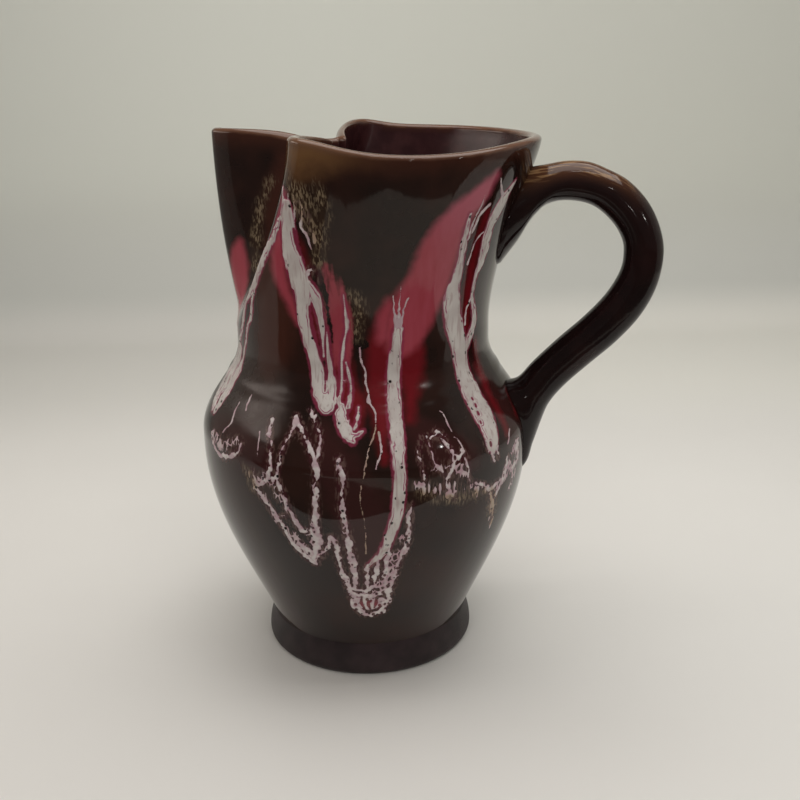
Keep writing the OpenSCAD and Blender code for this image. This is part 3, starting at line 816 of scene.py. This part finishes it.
def cell_net(places, size):
    """Distance to the borders between rounded cells of about that size, and to their middles."""
    cell = np.floor(places / size).astype(np.int64)
    nearest = np.full(places.shape[:-1], 2.0 * size)
    second = nearest.copy()
    for corner in itertools.product((-1, 0, 1), repeat=3):
        at = cell + corner
        mixed = scramble(at)
        jitter = np.stack([((mixed >> bits) & 1023) / 1023.0 for bits in (0, 10, 20)], axis=-1)
        gap = np.linalg.norm((at + jitter) * size - places, axis=-1)
        second = np.minimum(second, np.maximum(gap, nearest))
        nearest = np.minimum(nearest, gap)
    return (second - nearest) / 2.0, nearest


def ripple(places, size):
    return value_noise(places, size) - 0.5


def strand_sway(places, normal):
    """How far strands wander along the wall, in millimetres."""
    draws = [
        1.3 * value_noise(places + 40.0 * k, 3.2) + 0.9 * value_noise(places + 70.0 * k, 1.3) - 1.1
        for k in (1, 2, 3)
    ]
    sway = np.stack(draws, axis=-1)
    return sway - normal * (sway * normal).sum(axis=-1, keepdims=True)


run_parts = {"points": [], "faces": [], "depth": [], "lacy": [], "tan": []}
for facing, cell_angle, cell_h in ((True, 0.22, 0.28), (False, 0.5, 0.6)):
    poured, torn, hairs, slots, patches, drips, tans = (
        list(runs.values()) if facing else other_side(runs)
        for runs in (white_runs, strands, threads, slits, lace_patches, fringes, {**tan_patches, **tan_lines})
    )
    spots = np.array([spot for run in poured + torn for spot in run])
    low, high = spots.min(axis=0), spots.max(axis=0)
    angle, height = np.meshgrid(
        np.arange(low[0] - margin_angle, high[0] + margin_angle, cell_angle),
        np.arange(low[1] - margin_h, high[1] + margin_h, cell_h),
    )
    skin = wobbled(wall_point(angle, height))
    normal = np.cross(np.gradient(skin, axis=1), np.gradient(skin, axis=0))
    normal /= np.linalg.norm(normal, axis=-1, keepdims=True)
    fine = ripple(skin, fine_size)
    coarse = ripple(skin, coarse_size)
    # The thick runs, whose edges fray along the flow
    flow = value_noise(skin * along_flow, flow_size)
    run_depth = depth_in(poured, skin, run_reach) + 0.1 + 0.3 * fine + 0.4 * coarse + (flow - 0.5)
    # Strands that swell, thin out and are pitted, and hairs beside them
    sway = strand_sway(skin, normal)
    strand_depth = depth_in(torn, skin + sway, run_reach)
    hair_depth = depth_in(hairs, skin + 0.6 * sway, run_reach) + 0.3 * fine
    web_zone = depth_in(patches, skin, run_reach)
    laced = np.maximum(strand_depth, web_zone) > -2.0
    border, pit_gap = np.full(angle.shape, 3.0), np.full(angle.shape, 3.0)
    border[laced], pit_gap[laced] = cell_net(skin[laced] * along_net, net_size)
    torn_depth = strand_depth + 0.9 * (value_noise(skin, swell_size) - 0.55) + 0.6 * fine
    torn_depth += 0.5 * ripple(skin, 0.7)
    pits = pit_gap - pit_r + 2.0 * np.maximum(0.5 - value_noise(skin, 6.0), 0.0)
    torn_depth = np.minimum(torn_depth, pits)
    # Nets of threads round long cells, and fringes of short drips
    web_depth = 0.15 + 0.45 * ripple(skin, 4.0) - border - 0.13 * np.maximum(2.0 - web_zone, 0.0)
    drip_ends = value_noise(skin * along_drips + 9.0, 1.0) - 0.6
    drip_zone = depth_in(drips, skin, drip_reach) + 4.0 * drip_ends
    drip_depth = 1.3 * (flow - 0.66) + 0.25 * np.minimum(drip_zone, 1.0) - 0.18 + 0.4 * fine
    lacy_depth = np.maximum.reduce([torn_depth, hair_depth, web_depth, drip_depth])
    # The skin stands up inside all of them and dips under the wall outside
    depth = np.maximum(run_depth, lacy_depth)
    depth = np.minimum(depth, 0.3 * fine - depth_in(slots, skin, run_reach))
    bead = bead_h * (1.0 - np.exp(-np.maximum(depth, 0.0) / bead_curve))
    stand = np.where(depth > 0.0, bead, dip * depth)
    skin = skin + normal * np.maximum(stand, -hem)[..., None]
    faces = grid_faces(*angle.shape, False)
    faces = faces[(depth.ravel()[faces] > -hem).any(axis=1)]
    used, faces = np.unique(faces, return_inverse=True)
    run_parts["faces"].append(faces.reshape(-1, 4) + sum(len(part) for part in run_parts["points"]))
    run_parts["points"].append(skin.reshape(-1, 3)[used])
    run_parts["depth"].append(depth.ravel()[used])
    run_parts["lacy"].append(np.where(lacy_depth > run_depth, 1.0, 0.0).ravel()[used])
    run_parts["tan"].append(depth_in(tans, skin, run_reach).ravel()[used])
run_parts = {key: np.concatenate(part) for key, part in run_parts.items()}
runs_piece = make_piece("white_glaze_runs_poured", run_parts["points"], run_parts["faces"])
for key in ("depth", "lacy", "tan"):
    paint(runs_piece, key, run_parts[key])

run_white = (0.67, 0.625, 0.59, 1)
run_grey = (0.56, 0.50, 0.475, 1)
hair_line = (0.42, 0.30, 0.29, 1)
nested_pink = (0.36, 0.11, 0.18, 1)
lace_white = (0.68, 0.62, 0.61, 1)
lace_lilac = (0.53, 0.40, 0.43, 1)
border_pink = (0.36, 0.085, 0.155, 1)
lace_tan = (0.36, 0.25, 0.15, 1)
pit_black = (0.012, 0.005, 0.005, 1)

milk = Coat("white_run_glaze")
lacy = milk.field("lacy")
hair = milk.noise(1.1, milk.stretched(16.0), 3.0)
run_edge = milk.ragged("depth", milk.noise(1.5), 0.3)
lilac = milk.blend(milk.step(milk.noise(4.0), 0.4, 0.62), lace_white, lace_lilac)
white = milk.blend(milk.step(milk.noise(8.0), 0.3, 0.7), run_white, run_grey)
white = milk.blend(milk.step(hair, 0.53, 0.66), white, hair_line, 0.6)
# Nested pink and white lines round the border of the thick runs
line = milk.times(milk.step(run_edge, 0.50, 0.62), milk.step(run_edge, 0.95, 0.80))
white = milk.blend(milk.times(line, milk.step(milk.noise(7.0), 0.45, 0.6)), white, nested_pink)
milk.ground(lacy, white, lilac)
border_share = milk.math("SUBTRACT", 0.8, milk.times(lacy, 0.45))
milk.lay(milk.times(milk.step(run_edge, 0.34, 0.06), border_share), border_pink)
tan_share = milk.times(milk.pool("tan", milk.noise(3.0), 3.0, -1.5, 1.0), lacy)
milk.lay(tan_share, lace_tan, 0.8)
pit_cells = milk.put("TexVoronoi", {"Vector": milk.where, "Scale": 420.0}, feature="F1")
pit_zone = milk.times(milk.step(milk.noise(6.0), 0.50, 0.58), milk.step(run_edge, 1.9, 1.2))
pit = milk.times(milk.step(pit_cells, 0.30, 0.20), pit_zone)
milk.lay(pit, pit_black)
milk_gloss = milk.span(milk.noise(5.0), 0.10, 0.18)
runs_piece.data.materials.append(milk.finish(milk_gloss, milk.math("SUBTRACT", hair, pit), 0.06))
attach(runs_piece, "root")
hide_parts("white_glaze_runs")

# Handle: a pulled rod of clay, bent into a loop and luted on under the lip and on the shoulder.
# Its ends are thumbed out on the wall; the same brown glaze, thinner and tan along the top.
handle_steps = 9
handle_sides = 72
first_row = 7
joint_swell = 1.3
joint_reach = 6.5
# No swell below the lower joint, and little on the top side of the upper one
lower_joint = (82.0, 96.0)
upper_joint = (150.0, 165.0)
upper_ease = 0.8
end_depth = 2.0
end_depth_change = 0.8
# Sections as (outer edge x, z, inner edge x, z, half width across), from the neck round to the shoulder
handle_sections = [
    (49, 182, 42, 146, 8.0), (59, 186.2, 51, 154, 9.5), (67.8, 188.4, 57.5, 161, 8.6),
    (75, 189.6, 62.3, 168.8, 7.8), (82, 189.2, 67.5, 174.2, 7.4), (88.5, 186.8, 75, 175.9, 7.2),
    (96, 182.8, 83.6, 174.3, 7.2), (103, 175.6, 90.4, 169.0, 7.2), (107.5, 166.8, 94.3, 163.0, 7.2),
    (109.3, 157.5, 95.3, 157.5, 7.2), (107.6, 146.0, 94.3, 151.0, 7.2), (102.5, 135.2, 89.8, 142.6, 7.2),
    (94.6, 125.4, 82.4, 134.0, 7.2), (85.0, 116.2, 72.8, 124.8, 7.2), (76.5, 107.8, 64.3, 116.0, 7.4),
    (71.0, 100.6, 59.5, 110.2, 8.0), (68.0, 93.0, 55.0, 107.2, 8.6), (65.2, 84.0, 51.0, 105.0, 8.2),
    (62.9, 76.0, 48.0, 104.0, 7.0), (57.5, 69.0, 46.0, 98.0, 5.0),
]


def polar(points):
    """Angle from the handle in degrees and distance from the axis."""
    return np.degrees(np.arctan2(points[..., 1], points[..., 0])), np.hypot(points[..., 0], points[..., 1])


# The rows before the first one kept lie behind the wall
path = curve_through(handle_sections, lambda here, there: handle_steps)[first_row:]
outer, inner, half_w = path[:, 0:2], path[:, 2:4], path[:, 4:5]
middle, reach = (outer + inner) / 2.0, (outer - inner) / 2.0
rod_turn = np.linspace(0.0, 2.0 * np.pi, handle_sides, endpoint=False)
outward = np.cos(rod_turn)
rod_points = np.stack(
    [
        middle[:, :1] + reach[:, :1] * outward,
        half_w * np.sin(rod_turn),
        middle[:, 1:] + reach[:, 1:] * outward,
    ],
    axis=-1,
)
# Smooth the joint: the rod swells where it runs into the wall
rod_closed = np.concatenate([rod_points[:, -1:], rod_points, rod_points[:, :1]], axis=1)
rod_normal = np.cross(np.gradient(rod_points, axis=0), np.gradient(rod_closed, axis=1)[:, 1:-1])
rod_normal /= np.linalg.norm(rod_normal, axis=-1, keepdims=True)
rod_angle, rod_radius = polar(rod_points)
gap = rod_radius - wall_radius(rod_angle, rod_points[..., 2])
swell = joint_swell * np.clip(1.0 - np.abs(gap) / joint_reach, 0.0, 1.0) ** 2
eased = upper_ease * smooth(*upper_joint, outer[:, 1:]) * smooth(0.0, 0.8, outward)
swell *= smooth(*lower_joint, outer[:, 1:]) * (1.0 - eased)
spine = np.stack([middle[:, :1], np.zeros_like(half_w), middle[:, 1:]], axis=-1)
swell *= np.sign((rod_normal * (rod_points - spine)).sum(axis=-1))
rod_points = rod_points + rod_normal * swell[..., None]
# Both ends stop within the wall's thickness, so that nothing of them shows inside
rod_angle, rod_radius = polar(rod_points)
least_radius = wall_radius(rod_angle, rod_points[..., 2]) - (end_depth - end_depth_change * outward)
rod_points[..., :2] *= (np.maximum(rod_radius, least_radius) / rod_radius)[..., None]
rod_index = grid_index(len(path), handle_sides)
rod_faces = grid_faces(len(path), handle_sides, True)[:, ::-1]
rod_caps = [rod_index[0, ::-1].tolist(), rod_index[-1].tolist()]
handle = make_piece("handle_pulled_loop", rod_points, rod_faces, rod_caps)
paint(handle, "outer", np.tile(outward, len(path)))

rod_dark = (0.0095, 0.0048, 0.0048, 1)
rod_brown = (0.0190, 0.0078, 0.0072, 1)
crown_brown = (0.088, 0.036, 0.018, 1)
# Gold of the painted glints on the crown
painted_glint_gold = (0.30, 0.17, 0.080, 1)

rod = Coat("handle_brown_glaze")
rod_clouds = rod.step(rod.noise(20.0, detail=3.0), 0.35, 0.7)
rod.ground(rod_clouds, rod_dark, rod_brown)
crown = rod.times(rod.step(rod.axis("Z"), 0.172, 0.188), rod.step(rod.field("outer"), 0.1, 0.9))
rod.lay(crown, crown_brown, 0.85)
# Fine golden lines along the crown, drawn out along the rod: painted glints
drawn = rod.put("Mapping", {"Vector": rod.where, "Scale": (0.07, 1.0, 0.25)})
glint_lines = rod.times(rod.step(rod.noise(0.8, drawn, 3.0), 0.50, 0.64), rod.step(crown, 0.35, 0.9))
rod.lay(glint_lines, painted_glint_gold, 0.7)
rod_gloss = rod.span(rod.noise(7.0, detail=3.0), 0.07, 0.13)
handle.data.materials.append(rod.finish(rod_gloss, rod.noise(3.0), 0.05, ior=1.34))
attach(handle, "root")
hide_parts("handle_loop", "handle_upper_root", "handle_lower_root")

# Photo tent: a sheet of off-white paper that curves up behind the pitcher, with grey cloth walls beside it.
# The paper ends in front of the pitcher on a grey table, where a paler sheet lies before the camera.
view_turn = math.radians(13.0)
tent = Matrix.Rotation(view_turn, 4, "Z")
# Edges of the two papers as points (across, ahead)
paper_front = [(-520, -97), (-108, -125), (25, -167), (117, -152), (520, -135)]
sheet_front = [(-255, -325), (30, -322), (141, -243), (235, -160)]
sheet_back = [(-255, -292), (40, -266), (150, -200), (235, -118)]
paper_back = 520.0
cove = 90.0
tent_half_w = 520.0
tent_front = -190.0
tent_top = 740.0
table_half_w = 1300.0
table_front = -1300.0
table_back = 700.0
table_drop = 1.0
sheet_drop = 0.5
one_face = np.array([[0, 1, 2, 3]])


def stage_piece(name, points, faces, material):
    piece = make_piece(name, np.array(points), faces)
    piece.matrix_world = tent
    piece.data.materials.append(material)


across = np.linspace(-tent_half_w, tent_half_w, 81)
front_edge = np.interp(across, *np.array(paper_front, dtype=float).T)
paper_rows = [(mix(front_edge, paper_back - cove, k), 0.0) for k in np.linspace(0.0, 1.0, 24)]
for a in np.radians(np.linspace(-90.0, 0.0, 20))[1:]:
    paper_rows.append((paper_back - cove + cove * math.cos(a), cove + cove * math.sin(a)))
paper_rows += [(paper_back, z) for z in np.linspace(cove, tent_top, 12)[1:]]
paper_points = [np.stack(np.broadcast_arrays(across, y, z), axis=-1) for y, z in paper_rows]
paper = Coat("off_white_paper")
paper_up = paper.axis("Z")
rightward = paper.step(paper.axis("X"), -0.12, 0.22)
paper.ground(paper.noise(90.0), (0.79, 0.772, 0.74, 1), (0.82, 0.803, 0.772, 1))
# Painted light and shade on the paper: the far floor darker on the left and lighter on the right, the upright
# part darker than the floor, darker to the right and darkest low in the cove
far_floor_painted_light = paper.blend(rightward, (0.75, 0.735, 0.70, 1), (0.84, 0.825, 0.775, 1))
paper.lay(paper.step(paper.axis("Y"), 0.20, 0.33), far_floor_painted_light)
backdrop_painted_shade = paper.blend(rightward, (0.72, 0.735, 0.68, 1), (0.665, 0.675, 0.62, 1))
backdrop_painted_shade = paper.blend(paper.step(paper_up, 0.03, 0.14), (0.62, 0.625, 0.59, 1), backdrop_painted_shade)
paper.lay(paper.step(paper_up, 0.0, 0.03), backdrop_painted_shade)
paper_look = paper.finish(0.6, paper.noise(1.5), 0.02)
stage_piece("paper_sweep", paper_points, grid_faces(len(paper_rows), len(across), False), paper_look)


def plain_look(name, cloud_mm, dark, light, roughness, detail=2.0):
    """A dull coat, clouded between two colours."""
    coat = Coat(name)
    coat.ground(coat.noise(cloud_mm, detail=detail), dark, light)
    return coat.finish(roughness)


cloth_look = plain_look("grey_tent_cloth", 60.0, (0.46, 0.46, 0.44, 1), (0.52, 0.52, 0.50, 1), 0.8)
cloth_edges = [(tent_front, 0.0), (paper_back, 0.0), (paper_back, tent_top), (tent_front, tent_top)]
for side, x in (("left", -tent_half_w), ("right", tent_half_w)):
    stage_piece("tent_wall_" + side, [(x, y, z) for y, z in cloth_edges], one_face, cloth_look)

table_look = plain_look("grey_table", 30.0, (0.085, 0.080, 0.075, 1), (0.115, 0.108, 0.10, 1), 0.6, 4.0)
table_corners = [
    (-table_half_w, table_front, -table_drop), (table_half_w, table_front, -table_drop),
    (table_half_w, table_back, -table_drop), (-table_half_w, table_back, -table_drop),
]
stage_piece("table_top", table_corners, one_face, table_look)

sheet_look = plain_look("grey_sheet", 40.0, (0.62, 0.60, 0.54, 1), (0.68, 0.66, 0.60, 1), 0.7)
sheet_points = [[(x, y, -sheet_drop) for x, y in edge] for edge in (sheet_front, sheet_back)]
stage_piece("grey_sheet_in_front", sheet_points, grid_faces(2, 4, False), sheet_look)

# Light: the tent's lit ceiling and left wall, a short strip lamp at the front, and a dim room before it.
# The lamps are flat panels hung round the pitcher, four of them small spots that glint in the glaze.
warm_white = (1.0, 0.97, 0.92)


def panel_lamp(name, at, size, watts, color, tip=(0.0, 0.0)):
    """A flat lamp that shines down, tipped in degrees about X and then about Y."""
    lamp = bpy.data.lights.new(name, "AREA")
    lamp.shape = "RECTANGLE"
    lamp.size, lamp.size_y = size
    lamp.energy = watts
    lamp.color = color
    holder = bpy.data.objects.new(name, lamp)
    turned = Matrix.Rotation(math.radians(tip[1]), 4, "Y") @ Matrix.Rotation(math.radians(tip[0]), 4, "X")
    holder.matrix_world = tent @ Matrix.Translation(at) @ turned
    holder.visible_camera = False
    bpy.context.collection.objects.link(holder)
    return holder


panel_lamp("ceiling", (0.08, 0.06, 0.58), (0.60, 0.40), 2.25, (1.0, 0.985, 0.955))
panel_lamp("left_wall_glow", (-0.385, 0.06, 0.30), (0.11, 0.40), 0.31, (1.0, 0.87, 0.79), (0.0, -90.0))
panel_lamp("strip_front", (0.10, -0.17, 0.56), (0.20, 0.010), 0.12, (1.0, 0.98, 0.95))
fill = panel_lamp("room_fill", (0.0, -0.80, 0.62), (0.9, 0.6), 3.05, (1.0, 0.97, 0.93), (58.0, 0.0))
fill.visible_glossy = False
panel_lamp("spot_left", (-0.147, -0.480, 0.175), (0.012, 0.012), 0.02, warm_white, (80.0, 0.0))
panel_lamp("spot_right", (0.150, -0.463, 0.235), (0.012, 0.012), 0.02, warm_white, (75.0, 0.0))
panel_lamp("spot_side", (0.36, -0.29, 0.286), (0.014, 0.014), 0.05, warm_white, (35.0, 63.0))
panel_lamp("spot_high", (0.132, -0.355, 0.373), (0.012, 0.012), 0.02, warm_white, (47.0, 26.0))
room = bpy.data.worlds.new("dim_room")
room.use_nodes = True
room.node_tree.nodes["Background"].inputs["Color"].default_value = (0.09, 0.085, 0.08, 1.0)
bpy.context.scene.world = room

# Camera: in front of the tent and a little above the lip, tipped down at the pitcher.
# A plain lens, held a little turned and rolled.
eye = Vector((0.0, -0.40463, 0.23469))
yaw, pitch, roll = math.radians(1.915), math.radians(18.762), math.radians(-0.79)
sensor_w = 36.0
focal_length = 49.5
ahead = Vector((math.sin(yaw) * math.cos(pitch), math.cos(yaw) * math.cos(pitch), -math.sin(pitch)))
right = Vector((math.cos(yaw), -math.sin(yaw), 0.0))
upright = right.cross(ahead)
rolled_right = math.cos(roll) * right + math.sin(roll) * upright
rolled_up = math.cos(roll) * upright - math.sin(roll) * right
lens = bpy.data.cameras.new("photo_camera")
lens.sensor_width = sensor_w
lens.lens = focal_length
lens.clip_start, lens.clip_end = 0.01, 20.0
camera = bpy.data.objects.new("photo_camera", lens)
pose = Matrix((rolled_right, rolled_up, -ahead)).transposed().to_4x4()
pose.translation = eye
camera.matrix_world = tent @ pose
bpy.context.collection.objects.link(camera)
bpy.context.scene.camera = camera
bpy.context.scene.view_settings.view_transform = "Standard"
